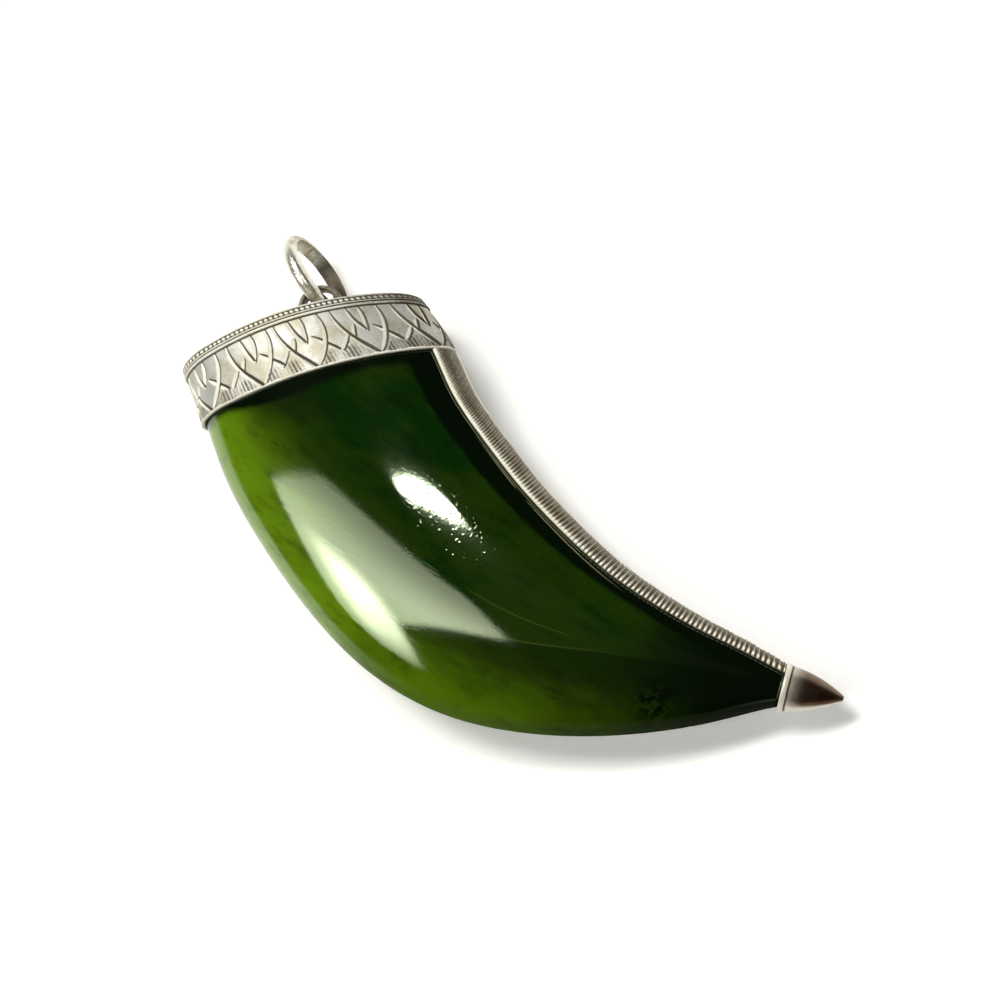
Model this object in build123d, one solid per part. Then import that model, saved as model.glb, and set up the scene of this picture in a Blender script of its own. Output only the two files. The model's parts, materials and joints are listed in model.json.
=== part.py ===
"""Jade claw pendant in silver mounts, lying on its domed back.

The claw is a polished jade horn with a lens section. Its head sits in a silver collar with a raised rim,
an arched top plate and a small eye. A milled silver strip is wrapped round the hollow edge of the claw,
and a plain ferrule covers the point. A loose ring hangs in the eye.

X runs from the collar to the point of the claw, Y towards the hollow edge and Z up, in millimetres. The
origin is on the surface that the pendant lies on, below the middle of its box.
"""

import os
from math import cos, hypot, radians, sin, sqrt

from build123d import *

# The claw
reach = 51.5             # from the middle of the rim to the point of the ferrule
stone_width = 20.6       # the widest section of the stone, from edge to edge
stone_depth = 10.0       # the deepest section of the stone, from face to face
full_turn = 18.0         # how far a face turns from its crown before the rounded full edge, in degrees
hollow_turn = 29.0       # the same before the rounded hollow edge, which is the sharper one

# The silver
fit_gap = 0.06           # between the stone and the silver round it
collar_wall = 0.32
collar_height = 5.3      # along the claw, rim included
collar_arch = 54.0       # plan radius of the arched top of the collar
foot_arch = 104.0        # plan radius of the collar's foot
plate_thick = 0.6
rim_height = 0.95
rim_step = 0.14          # how far the rim stands out past the band
strip_thick = 0.32
strip_cover = 0.097      # how far the strip covers each face in plan, as a share of the section's depth
seam_gap = 0.06          # between the strip and the silver at its two ends
ferrule_wall = 0.26
lip_height = 0.42
lip_step = 0.12

# The eye and its ring, which are sized by the depth of the head so that the ring can lie down
eye_bore = 0.29 * stone_depth    # width of the hole in the eye
eye_strap = 0.42                 # thickness of the eye's strap
eye_width = 1.2                  # width of the strap, across the collar's depth
eye_rise = 0.27 * stone_depth    # how far the eye stands above the top plate
eye_shift = 1.95                 # from the middle of the plate towards the hollow edge
ring_bore = 0.65 * stone_depth
ring_thick = 0.07 * stone_depth  # measured outwards
ring_width = 1.2                 # measured along the ring's axis
ring_play = 0.36                 # between the ring and the corners of the strap
ring_swing = 1.5                 # how far the ring is turned in plan from square to the plate, in degrees
ring_lean = 15.0                 # how far the ring leans over on its edge, in degrees
droop_step = 0.001               # how closely the ring is laid on the surface, in degrees

# How the pendant comes to rest, in degrees: the point dips, and the claw rolls on its domed back
rest_pitch = 3.2
rest_roll = -1.6

# Sections of the stone from head to point. Along and across place the middle of a section, as shares of
# the reach, turn is the direction in degrees from its full edge to its hollow edge, and width and depth
# are shares of the stone's widest and deepest section. The last but one is at the mouth of the ferrule,
# and the last is where the stone ends inside it.
SECTION_COLUMNS = ("along", "across", "turn", "width", "depth")
SECTION_ROWS = (
    (-0.009, -0.004, 51.5, 0.905, 0.985),
    (0.090, -0.053, 52.3, 0.988, 1.000),
    (0.164, -0.099, 54.7, 1.000, 1.000),
    (0.259, -0.140, 59.4, 0.998, 0.985),
    (0.366, -0.174, 64.9, 0.983, 0.950),
    (0.474, -0.193, 70.9, 0.942, 0.900),
    (0.583, -0.190, 76.9, 0.839, 0.830),
    (0.683, -0.163, 83.4, 0.681, 0.740),
    (0.768, -0.126, 89.9, 0.511, 0.620),
    (0.850, -0.079, 98.4, 0.322, 0.480),
    (0.919, -0.037, 110.4, 0.145, 0.320),
    (0.953, -0.022, 114.4, 0.084, 0.185),
)
SECTIONS = [dict(zip(SECTION_COLUMNS, row)) for row in SECTION_ROWS]
HEAD, MOUTH, STONE_END = SECTIONS[0], SECTIONS[-2], SECTIONS[-1]

# Sections of the ferrule past its mouth: how far along it they lie and how large they are, as shares of
# its length and of its mouth.
FERRULE_COLUMNS = ("along", "size")
FERRULE_ROWS = ((0.0, 1.0), (0.30, 0.80), (0.62, 0.50), (0.88, 0.20), (1.0, 0.055))
FERRULE = [dict(zip(FERRULE_COLUMNS, row)) for row in FERRULE_ROWS]


def section_plane(row):
    """The plane of a section: its x runs from the full edge to the hollow edge, and its y is up."""
    turn = radians(row["turn"])
    place = (row["along"] * reach, row["across"] * reach, 0)
    return Plane(origin=place, x_dir=(cos(turn), sin(turn), 0), z_dir=(sin(turn), -cos(turn), 0))


def side_arcs(row, side):
    """Face arc and edge arc of one half of a section, which meet in a tangent, as plain sizes.

    Side is -1 for the full edge and 1 for the hollow edge. The face arc starts at the crown, over the
    middle of the section, and turns by `sweep` before the edge arc takes over.
    """
    half_depth = row["depth"] * stone_depth / 2
    half_width = row["width"] * stone_width / 2
    sweep = full_turn if side < 0 else hollow_turn
    rise, run = 1 - cos(radians(sweep)), 1 - sin(radians(sweep))
    scale = rise + run - 1
    edge = (half_width * rise - half_depth * (1 - run)) / scale
    face = (half_depth * run - half_width * (1 - rise)) / scale
    return {"face": face, "edge": edge, "middle": side * (half_width - edge), "drop": half_depth - face,
            "sweep": sweep}


def oval(row, out=0.0):
    """A section of the stone as a face of six tangent arcs, standing out from the stone by `out`."""
    full, hollow = side_arcs(row, -1), side_arcs(row, 1)
    arcs = [
        CenterArc((0, full["drop"]), full["face"] + out, 90, full["sweep"]),
        CenterArc((full["middle"], 0), full["edge"] + out, 90 + full["sweep"], 180 - 2 * full["sweep"]),
        CenterArc((0, -full["drop"]), full["face"] + out, 270 - full["sweep"], full["sweep"]),
        CenterArc((0, -hollow["drop"]), hollow["face"] + out, 270, hollow["sweep"]),
        CenterArc((hollow["middle"], 0), hollow["edge"] + out, 270 + hollow["sweep"], 180 - 2 * hollow["sweep"]),
        CenterArc((0, hollow["drop"]), hollow["face"] + out, 90 - hollow["sweep"], hollow["sweep"]),
    ]
    return section_plane(row) * make_face(arcs)


def claw(out=0.0):
    """The claw's form, standing out from the stone by `out`."""
    return loft([oval(row, out) for row in SECTIONS])


TALL = 4 * stone_depth   # taller than anything here, for cutting right through


def past(distance, arch=collar_arch):
    """Everything further down the claw than an arched cut, `distance` below the middle of the rim."""
    centre = section_plane(HEAD).z_dir * (distance + arch)
    return Location(centre) * Cylinder(arch, TALL)


def make_stone():
    """The jade from the underside of the top plate to its end inside the ferrule."""
    stone = claw() & past(plate_thick + fit_gap)
    return split(stone, bisect_by=section_plane(STONE_END).offset(-fit_gap), keep=Keep.BOTTOM)


def eye_plane():
    """Foot of the eye on the top plate: x runs towards the hollow edge and y away from the claw."""
    top = section_plane(HEAD)
    return Plane(origin=top.x_dir * eye_shift, x_dir=top.x_dir, z_dir=(0, 0, 1))


def make_eye():
    """The eye: a strap bent into an arch, with its legs let into the top plate."""
    outer = eye_bore / 2 + eye_strap
    arch = eye_rise - outer   # height of the arch's centre over the plate
    foot = -plate_thick / 2
    leg = Pos(0, (arch + foot) / 2)
    form = Pos(0, arch) * Circle(outer) + leg * Rectangle(2 * outer, arch - foot)
    form -= Pos(0, arch) * Circle(eye_bore / 2) + leg * Rectangle(eye_bore, arch - foot)
    form -= Pos(0, foot - outer) * Rectangle(4 * outer, 2 * outer)
    return extrude(eye_plane() * form, eye_width / 2, both=True)


def make_collar():
    """The band, its raised rim, the top plate and the eye, soldered into one."""
    band = claw(fit_gap + collar_wall) & (past(0) - past(collar_height, foot_arch))
    rim = claw(fit_gap + collar_wall + rim_step) & (past(0) - past(rim_height))
    inside = claw(fit_gap) & past(plate_thick)
    return band + rim - inside + make_eye()


def make_strip():
    """The milled strip that wraps the hollow edge from the collar's foot to the ferrule's lip."""
    rail, outside = [], []
    for row in SECTIONS:
        plane = section_plane(row)
        crest = row["width"] * stone_width / 2
        rail.append(plane.from_local_coords(Vector(crest - strip_cover * row["depth"] * stone_depth, 0)))
        outside.append(plane.from_local_coords(Vector(crest + 4 * strip_thick, 0)))
    rail_line = Spline(*rail)
    cover = make_face([rail_line, Line(rail[-1], outside[-1]), Polyline(*reversed(outside)),
                       Line(outside[0], rail[0])])
    strip = claw(fit_gap + strip_thick) - claw(fit_gap)
    strip = strip & extrude(cover, TALL / 2, both=True) & past(collar_height + seam_gap, foot_arch)
    return split(strip, bisect_by=section_plane(MOUTH).offset(-seam_gap), keep=Keep.BOTTOM)


def ferrule_form(out):
    """The ferrule's outer form from its mouth to its point, standing out from the stone by `out`."""
    point = Vector(reach, 0, 0)
    mouth = section_plane(MOUTH).origin
    faces = []
    for step in FERRULE:
        middle = mouth + (point - mouth) * step["along"]
        row = dict(MOUTH, along=middle.X / reach, across=middle.Y / reach)
        faces.append(scale_section(row, out, step["size"]))
    return loft(faces)


def scale_section(row, out, size):
    """A smaller copy of a section and what stands out round it."""
    return oval(dict(row, width=row["width"] * size, depth=row["depth"] * size), out * size)


def make_ferrule():
    """The hollow ferrule on the point, with its raised lip."""
    form = ferrule_form(fit_gap + ferrule_wall)
    lip = split(ferrule_form(fit_gap + ferrule_wall + lip_step),
                bisect_by=section_plane(MOUTH).offset(lip_height), keep=Keep.BOTTOM)
    return form + lip - claw(fit_gap)


def hang_point():
    """Where the ring hangs on the eye: the middle of the strap, turned from the eye's top by ring_swing."""
    centre = Vector(0, eye_rise - eye_bore / 2 - eye_strap)
    on_strap = Vector(0, (eye_bore + eye_strap) / 2).rotate(Axis.Z, ring_swing)
    return eye_plane().from_local_coords(centre + on_strap)


def make_ring(place, surface):
    """The loose ring, a band with a flat inside and a round outside, with its far edge on the surface."""
    start = place * Vertex(*hang_point())
    corner = hypot(eye_strap, eye_width) / 2 / cos(radians(ring_lean))
    hang = ring_bore / 2 - corner - ring_play
    outer = ring_bore / 2 + ring_thick
    away = eye_plane().y_dir.rotate(Axis.Z, ring_swing)
    side = away.cross(Vector(0, 0, 1))
    low, high = 0.0, 90.0
    while high - low > droop_step:
        droop = radians((low + high) / 2)
        tip_over = cos(droop) * sin(radians(ring_lean))
        lowest = start.Z - hang * sin(droop) - outer * sqrt(1 - tip_over ** 2) - ring_width / 2 * tip_over
        if lowest > surface:
            low = (low + high) / 2
        else:
            high = (low + high) / 2
    along = away * cos(radians(low)) - Vector(0, 0, sin(radians(low)))
    up = away * sin(radians(low)) + Vector(0, 0, cos(radians(low)))
    normal = side * cos(radians(ring_lean)) + up * sin(radians(ring_lean))
    centre = Vector(start) + along * hang
    band = make_face([
        Line((ring_bore / 2, -ring_width / 2), (ring_bore / 2, ring_width / 2)),
        ThreePointArc((ring_bore / 2, ring_width / 2), (outer, 0), (ring_bore / 2, -ring_width / 2)),
    ])
    ring = revolve(Plane.XZ * band, Axis.Z)
    print(f"ring hangs at {tuple(start)} about {tuple(normal)}, drooping {low:.1f} degrees")
    return Plane(origin=centre, x_dir=along, z_dir=normal) * ring


rest = Rot(0, rest_pitch, 0) * Rot(rest_roll, 0, 0)
pieces = {
    "claw_stone": rest * make_stone(),
    "collar": rest * make_collar(),
    "edge_strip": rest * make_strip(),
    "tip_ferrule": rest * make_ferrule(),
}
surface = min(piece.bounding_box().min.Z for piece in pieces.values())
pieces["jump_ring"] = make_ring(rest, surface)

box = Compound(list(pieces.values())).bounding_box()
to_origin = Pos(-box.center().X, -box.center().Y, -box.min.Z)

os.makedirs("parts", exist_ok=True)
for name, piece in pieces.items():
    export_step(to_origin * piece, f"parts/{name}.step")
print("origin moved by", tuple(to_origin.position))
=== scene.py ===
"""The looks of a jade claw pendant in silver mounts, lying on a pale table.

Sizes are in millimetres as they are on the bench, in the claw's own frame: x from the middle of the
collar's rim to the point, y towards the hollow edge, z up. `lay` turns them into the frame of the model.
"""

import json
from math import cos, pi, radians, sin

import bpy
import numpy as np
from mathutils import Matrix, Vector


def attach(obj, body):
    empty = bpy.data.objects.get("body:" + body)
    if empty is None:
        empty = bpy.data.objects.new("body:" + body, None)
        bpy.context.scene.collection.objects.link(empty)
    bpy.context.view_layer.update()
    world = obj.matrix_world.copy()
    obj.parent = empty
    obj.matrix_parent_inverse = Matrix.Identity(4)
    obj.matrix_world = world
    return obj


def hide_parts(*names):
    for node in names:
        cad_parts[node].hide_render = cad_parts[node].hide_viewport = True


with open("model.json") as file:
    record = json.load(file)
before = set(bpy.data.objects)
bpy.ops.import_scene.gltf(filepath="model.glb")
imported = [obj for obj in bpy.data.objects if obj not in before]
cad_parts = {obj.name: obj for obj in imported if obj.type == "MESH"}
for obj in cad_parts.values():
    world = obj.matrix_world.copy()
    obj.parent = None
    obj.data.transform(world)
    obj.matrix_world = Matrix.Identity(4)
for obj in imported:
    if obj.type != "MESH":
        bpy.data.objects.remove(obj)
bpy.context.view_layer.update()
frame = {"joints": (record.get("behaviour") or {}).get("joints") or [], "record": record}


# The table and the camera
# The pendant lies on a pale matt table. The picture is taken from over the hollow side, almost straight
# down, with the claw's point to the right.
millimetre = 0.001
rim_middle = (-22.914, 5.734, 5.594)    # where the middle of the collar's rim lies over the table
plan_turn = -35.736                     # the claw's x in the picture, in degrees from level
picture_head = (-15.016, 13.719)        # the rim's middle in the picture, from the middle of the picture
camera_offset = (32.0, -24.0, 145.0)    # from the table point in the middle of the picture
pixel_size, picture_pixels = 0.08, 1000
sensor_width = 36.0
nearest_seen = 5.0


def picture_to_table(x, y, z=0.0):
    """A place over the table, given in the directions of the picture, in the frame of the model."""
    turn = radians(-plan_turn)
    x, y = x - picture_head[0], y - picture_head[1]
    return Vector((x * cos(turn) - y * sin(turn) + rim_middle[0],
                   x * sin(turn) + y * cos(turn) + rim_middle[1], z)) * millimetre


target = picture_to_table(0, 0)
eye_point = picture_to_table(*camera_offset)
up_side = picture_to_table(0, 1) - target
camera = bpy.data.objects.new("camera", bpy.data.cameras.new("camera"))
bpy.context.collection.objects.link(camera)
back = (eye_point - target).normalized()
right = up_side.cross(back).normalized()
camera.matrix_world = (Matrix.Translation(eye_point)
                       @ Matrix((right, back.cross(right), back)).transposed().to_4x4())
camera.data.sensor_width = sensor_width
camera.data.lens = sensor_width * (eye_point - target).length / (pixel_size * picture_pixels * millimetre)
camera.data.clip_start = nearest_seen * millimetre
bpy.context.scene.camera = camera


class Value:
    """A socket of a node tree, with operators that add the Math nodes of an expression."""

    def __init__(self, nodes, socket):
        self.nodes, self.socket = nodes, socket

    def math(self, operation, first, second):
        return self.nodes.add("ShaderNodeMath", {"operation": operation}, {0: first, 1: second})

    def __add__(self, other): return self.math("ADD", self, other)
    def __radd__(self, other): return self.math("ADD", other, self)
    def __sub__(self, other): return self.math("SUBTRACT", self, other)
    def __rsub__(self, other): return self.math("SUBTRACT", other, self)
    def __mul__(self, other): return self.math("MULTIPLY", self, other)
    def __rmul__(self, other): return self.math("MULTIPLY", other, self)
    def __pow__(self, other): return self.math("POWER", self, other)


class Nodes:
    """A node tree, built up node by node."""

    def __init__(self, tree):
        self.tree = tree

    def add(self, kind, settings=None, sockets=None, out=0):
        """A node of a type with its settings, then the values or links of its sockets."""
        node = self.tree.nodes.new(kind)
        for key, value in (settings or {}).items():
            setattr(node, key, value)
        for key, value in (sockets or {}).items():
            if isinstance(value, Value):
                self.tree.links.new(value.socket, node.inputs[key])
            else:
                node.inputs[key].default_value = value
        return Value(self, node.outputs[out])

    def between(self, low, high, value):
        """0 below low, 1 above high and smooth between; a falling step where high is below low."""
        return self.add("ShaderNodeMapRange", {"interpolation_type": "SMOOTHSTEP"},
                        {"Value": value, "From Min": low, "From Max": high})

    def blend(self, amount, first, second, mode="MIX"):
        """Two colours mixed by an amount."""
        sockets = {0: amount, 6: first if isinstance(first, Value) else (*first, 1),
                   7: second if isinstance(second, Value) else (*second, 1)}
        return self.add("ShaderNodeMix", {"data_type": "RGBA", "blend_type": mode}, sockets, out=2)


class Finish(Nodes):
    """A material with its main shader."""

    def __init__(self, name, **sockets):
        self.material = bpy.data.materials.new(name)
        self.material.use_nodes = True
        super().__init__(self.material.node_tree)
        self.shader = self.tree.nodes["Principled BSDF"]
        for socket, value in sockets.items():
            self.shader.inputs[socket.replace("_", " ")].default_value = value

    def place(self, stretch=(1, 1, 1), turn=0.0):
        """Places on the piece in millimetres, turned about z and stretched for streaks."""
        return self.add("ShaderNodeMapping", {"vector_type": "POINT"},
                        {"Vector": self.add("ShaderNodeTexCoord", out=3), "Rotation": (0, 0, radians(turn)),
                         "Scale": tuple(part / millimetre for part in stretch)})

    def mark(self, name):
        """A value that each point of the mesh carries."""
        return self.add("ShaderNodeAttribute", {"attribute_name": name}, out=2)

    def noise(self, place, waves, detail=3.0, rough=0.5):
        """Cloudy noise with its waves per millimetre."""
        return self.add("ShaderNodeTexNoise", {}, {"Vector": place, "Scale": waves, "Detail": detail,
                                                   "Roughness": rough})

    def specks(self, place, apart, out=0):
        """Distance to scattered points, as a share of how far they lie apart."""
        return self.add("ShaderNodeTexVoronoi", {}, {"Vector": place, "Scale": 1 / apart}, out=out)

    def feed(self, **sockets):
        """Links values to the main shader."""
        for key, value in sockets.items():
            self.tree.links.new(value.socket, self.shader.inputs[key.replace("_", " ")])

    def bump(self, height, depth, normal=None):
        """A bump of a height value, with its depth in millimetres."""
        sockets = {"Height": height, "Strength": 1.0, "Distance": depth * millimetre}
        if normal:
            sockets["Normal"] = normal
        return self.add("ShaderNodeBump", {}, sockets)


table_white, table_cream = (0.99, 0.99, 0.98), (0.97, 0.97, 0.95)
table_cloud_waves = 0.02
table_glow = 0.21            # a little light of its own keeps the table as pale as in an overexposed picture
table_half = 1500.0 * millimetre
table_finish = Finish("table_white", Roughness=0.9, Emission_Color=(1.0, 1.0, 0.98, 1),
                      Emission_Strength=table_glow)
table_cloud = table_finish.noise(table_finish.place(), table_cloud_waves)
table_finish.feed(Base_Color=table_finish.blend(table_cloud, table_white, table_cream))
table_mesh = bpy.data.meshes.new("table")
table_mesh.from_pydata([(-table_half, -table_half, 0), (table_half, -table_half, 0),
                        (table_half, table_half, 0), (-table_half, table_half, 0)], [], [(0, 1, 2, 3)])
table_mesh.materials.append(table_finish.material)
table = bpy.data.objects.new("table", table_mesh)
bpy.context.collection.objects.link(table)


# Studio light
# A dim room with a tall notched window to the left, brightest at its foot, a skylight at the far left, a
# faint strip of ceiling and a small bright lamp close over the claw. Window and lamp show in the polish of
# the jade. Places in this sky are slopes from straight up, across and up the picture.
WINDOW = ((-0.78, -0.11), (-0.78, -0.45), (-0.51, -0.64), (-0.04, -0.11), (-0.04, 0.003), (-0.38, 0.015))
WINDOW_NOTCH = ((-0.04, -0.127), (-0.438, -0.333), (-0.508, -0.64))
WINDOW_FOOT = ((-0.66, -0.22), (-0.68, -0.46), (-0.50, -0.65), (-0.44, -0.34), (-0.47, -0.22))
SKYLIGHT = ((-0.62, 0.27), (-0.44, 0.26), (-0.20, 0.38), (-0.08, 0.52), (-0.28, 0.62), (-0.62, 0.58))
CEILING = ((-0.04, -0.115), (0.36, 0.23), (0.60, 0.60), (0.30, 0.55), (0.0, 0.10))
window_edge, notch_edge, foot_edge, skylight_edge, ceiling_edge = 0.010, 0.01, 0.05, 0.05, 0.014
window_haze, window_fade, fade_width = 1.42, 2.5, 0.22    # the window's light, more to its lower side
foot_light, skylight, ceiling_light = 10.2, 26.0, 0.010
room_dark, wall_light, near_wall_light, horizon_light = 0.012, 0.70, 0.10, 0.70
near_to_far = (-0.5, 0.4)      # where the near walls brighten to the far ones, up the picture
wall_top, horizon_top = (0.22, 0.10), (0.05, 0.02)         # heights over the table where their light ends
room_tint = (1.0, 0.985, 0.95)
bpy.context.scene.view_settings.view_transform = "Standard"
room = bpy.data.worlds.new("room")
bpy.context.scene.world = room
room.use_nodes = True
sky = Nodes(room.node_tree)
sight = sky.add("ShaderNodeTexCoord")


def past_edge(first, second, soft, from_line=False):
    """1 on the left of an edge between two places in the sky and 0 on its right, smooth where they meet."""
    ends = [picture_to_table(*place, 1.0) - picture_to_table(0, 0) for place in (first, second)]
    side = sky.add("ShaderNodeVectorMath", {"operation": "DOT_PRODUCT"},
                   {0: sight, 1: ends[0].cross(ends[1]).normalized()}, out=1)
    return sky.between(0.0 if from_line else -soft, soft, side)


def sky_patch(corners, soft):
    """1 inside a patch of the sky whose corners go round counterclockwise, 0 outside."""
    patch = 1.0
    for k in range(len(corners)):
        patch = past_edge(corners[k], corners[(k + 1) % len(corners)], soft) * patch
    return patch


notch = past_edge(*WINDOW_NOTCH[:2], notch_edge) * past_edge(*WINDOW_NOTCH[1:], notch_edge)
window_light = past_edge(*WINDOW[-2:], fade_width, True) * window_fade + window_haze
light = sky_patch(WINDOW, window_edge) * (1.0 - notch) * (sky_patch(WINDOW_FOOT, foot_edge) * foot_light
                                                          + window_light)
light = light + sky_patch(SKYLIGHT, skylight_edge) * skylight
light = light + sky_patch(CEILING, ceiling_edge) * ceiling_light
height = sky.add("ShaderNodeSeparateXYZ", {}, {0: sight}, out=2)
far_side = sky.add("ShaderNodeVectorMath", {"operation": "DOT_PRODUCT"},
                   {0: sight, 1: up_side.normalized()}, out=1)
walls = sky.between(*near_to_far, far_side) * (wall_light - near_wall_light) + near_wall_light
light = (light + sky.between(*wall_top, height) * walls + sky.between(*horizon_top, height) * horizon_light
         + room_dark)
background = room.node_tree.nodes["Background"]
background.inputs["Color"].default_value = (*room_tint, 1)
room.node_tree.links.new(light.socket, background.inputs["Strength"])

lamp_place = (7.0, 18.6, 74.0)          # across and up the picture and over the table
lamp_size = (25.5, 5.2)
lamp_turn = 27.0                        # its long side in the picture, in degrees from level
lamp_power = 0.0088
lamp = bpy.data.objects.new("lamp", bpy.data.lights.new("lamp", "AREA"))
lamp.data.shape = "ELLIPSE"
lamp.data.size, lamp.data.size_y = (part * millimetre for part in lamp_size)
lamp.data.energy = lamp_power
lamp.matrix_world = (Matrix.Translation(picture_to_table(*lamp_place))
                     @ Matrix.Rotation(radians(lamp_turn - plan_turn), 4, "Z"))
lamp.visible_camera = False
bpy.context.collection.objects.link(lamp)


# The claw
# A horn of deep green nephrite, ground to a lens section and polished like glass. It is held in the
# collar at its head and in the ferrule at its point.
reach = 51.5                 # from the middle of the rim to the point of the ferrule
stone_width = 20.6
stone_depth = 10.0
full_turn = radians(18.0)    # how far a face turns from its crown before the rounded full edge
hollow_turn = radians(29.0)
fit_gap = 0.06               # between the stone and its silver
plate_thick = 0.6
collar_arch = 54.0           # radius of the arch of the collar's top
collar_height = 5.3
foot_arch = 104.0
rest_pitch = radians(3.2)    # how the claw leans as it lies
rest_roll = radians(-1.6)
# Sections along the claw: along and across in shares of its reach, turn in degrees, width and depth in
# shares of the stone's.
SECTION_ROWS = (
    (-0.009, -0.004, 51.5, 0.905, 0.985),
    (0.090, -0.053, 52.3, 0.988, 1.000),
    (0.164, -0.099, 54.7, 1.000, 1.000),
    (0.259, -0.140, 59.4, 0.998, 0.985),
    (0.366, -0.174, 64.9, 0.983, 0.950),
    (0.474, -0.193, 70.9, 0.942, 0.900),
    (0.583, -0.190, 76.9, 0.839, 0.830),
    (0.683, -0.163, 83.4, 0.681, 0.740),
    (0.768, -0.126, 89.9, 0.511, 0.620),
    (0.850, -0.079, 98.4, 0.322, 0.480),
    (0.919, -0.037, 110.4, 0.145, 0.320),
    (0.953, -0.022, 114.4, 0.084, 0.185),
)
sections = np.array(SECTION_ROWS) * (reach, reach, pi / 180, stone_width / 2, stone_depth / 2)
steps_along = np.hypot(*np.diff(sections[:, :2], axis=0).T)
station = np.concatenate([[0.0], np.cumsum(steps_along)])    # where each section lies along the claw
mouth_station, stone_end = station[-2], station[-1]


def smooth_through(knots, values):
    """A natural cubic curve through values at knots, as a function."""
    knots, values = np.asarray(knots, float), np.asarray(values, float)
    steps = np.diff(knots)
    slopes = np.diff(values, axis=0) / (steps[:, None] if values.ndim > 1 else steps)
    matrix, right_side = np.eye(len(knots)), np.zeros_like(values)
    for k in range(1, len(knots) - 1):
        matrix[k, k - 1:k + 2] = steps[k - 1], 2 * (steps[k - 1] + steps[k]), steps[k]
        right_side[k] = 6 * (slopes[k] - slopes[k - 1])
    bend = np.linalg.solve(matrix, right_side)

    def at(place):
        k = np.clip(np.searchsorted(knots, place) - 1, 0, len(knots) - 2)
        step, start = steps[k], place - knots[k]
        if values.ndim > 1:
            step, start = step[..., None], start[..., None]
        curve = bend[k] / 2 + (bend[k + 1] - bend[k]) / (6 * step) * start
        return values[k] + start * (slopes[k] - step * (2 * bend[k] + bend[k + 1]) / 6 + start * curve)
    return at


section_at = smooth_through(station, sections)


def oval_point(half_width, half_depth, facing, out):
    """The point of a section's oval facing a direction, which is 0 at the hollow edge and 90 degrees up."""
    hollow = np.cos(facing) >= 0
    sweep = np.where(hollow, hollow_turn, full_turn)
    rise, run = 1 - np.cos(sweep), 1 - np.sin(sweep)
    scale = rise + run - 1
    edge = (half_width * rise - half_depth * (1 - run)) / scale
    face = (half_depth * run - half_width * (1 - rise)) / scale
    on_edge = np.abs(np.sin(facing)) < np.cos(sweep)
    middle_x = np.where(on_edge, np.where(hollow, 1, -1) * (half_width - edge), 0)
    middle_y = np.where(on_edge, 0, np.sign(np.sin(facing)) * (half_depth - face))
    radius = np.where(on_edge, edge, face) + out
    return middle_x + radius * np.cos(facing), middle_y + radius * np.sin(facing)


def surface(along, facing, out=0.0):
    """Points of the claw's form at stations along it, facing a direction and standing out from the stone."""
    along, facing, out = np.broadcast_arrays(np.asarray(along, float), facing, out)
    row = section_at(along)
    local_x, local_y = oval_point(row[..., 3], row[..., 4], facing, out)
    x, y, turn = row[..., 0], row[..., 1], row[..., 2]
    return np.stack([x + local_x * np.cos(turn), y + local_x * np.sin(turn), local_y], -1)


def lay(points):
    """Points of the claw's own frame as they lie on the table, in metres."""
    x, y, z = np.moveaxis(np.asarray(points, float), -1, 0)
    y, z = y * cos(rest_roll) - z * sin(rest_roll), y * sin(rest_roll) + z * cos(rest_roll)
    x, z = x * cos(rest_pitch) + z * sin(rest_pitch), z * cos(rest_pitch) - x * sin(rest_pitch)
    return (np.stack([x, y, z], -1) + rim_middle) * millimetre


head_turn = sections[0, 2]
head_across = np.array((cos(head_turn), sin(head_turn), 0))
head_down = np.array((sin(head_turn), -cos(head_turn), 0))
halvings, girth_samples = 30, 40001


def depth_past(points, distance, arch):
    """How far points lie past an arched cut across the claw, `distance` below the middle of the rim."""
    centre = head_down * (distance + arch)
    return arch - np.hypot(points[..., 0] - centre[0], points[..., 1] - centre[1])


def cut_station(facing, out, distance, arch):
    """Where along the claw an arched cut meets its form, found by halving."""
    low, high = np.zeros_like(facing), np.full_like(facing, station[2])
    for _ in range(halvings):
        middle = (low + high) / 2
        short = depth_past(surface(middle, facing, out), distance, arch) < 0
        low, high = np.where(short, middle, low), np.where(short, high, middle)
    return (low + high) / 2


def even_facings(count, half_width, half_depth, out=0.0):
    """Directions evenly spaced in length round an oval, starting at the full edge, and its girth."""
    fine = np.linspace(-pi, pi, girth_samples)
    x, y = oval_point(half_width, half_depth, fine, out)
    length = np.concatenate([[0.0], np.cumsum(np.hypot(np.diff(x), np.diff(y)))])
    return np.interp(np.linspace(0, length[-1], count, endpoint=False), length, fine), length[-1]


def make_piece(name, points, faces, finish, body, node, slot, **marks):
    """A mesh piece on a body in place of a CAD node, with the values that its points carry."""
    mesh = bpy.data.meshes.new(name)
    mesh.from_pydata(points.reshape(-1, 3).tolist(), [], faces)
    mesh.shade_smooth()
    mesh.materials.append(finish.material)
    for mark, values in marks.items():
        values = np.concatenate([values.ravel(), np.zeros(len(mesh.vertices) - values.size)])
        mesh.attributes.new(mark, "FLOAT", "POINT").data.foreach_set("value", values.astype(np.float32))
    piece = bpy.data.objects.new(name, mesh)
    bpy.context.collection.objects.link(piece)
    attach(piece, body)
    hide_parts(node)
    return piece


def tube_faces(rows, columns, ends="fans"):
    """Faces of a grid closed round its columns, its ends closed on two last points, joined or left open."""
    faces = []
    for row in range(rows - 1):
        here, there = row * columns, (row + 1) * columns
        faces += [(here + k, here + (k + 1) % columns, there + (k + 1) % columns, there + k)
                  for k in range(columns)]
    final, first, last = (rows - 1) * columns, rows * columns, rows * columns + 1
    if ends == "fans":
        faces += [(first, (k + 1) % columns, k) for k in range(columns)]
        faces += [(last, final + k, final + (k + 1) % columns) for k in range(columns)]
    elif ends == "joined":
        faces += [(final + k, final + (k + 1) % columns, (k + 1) % columns, k) for k in range(columns)]
    return faces


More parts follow.
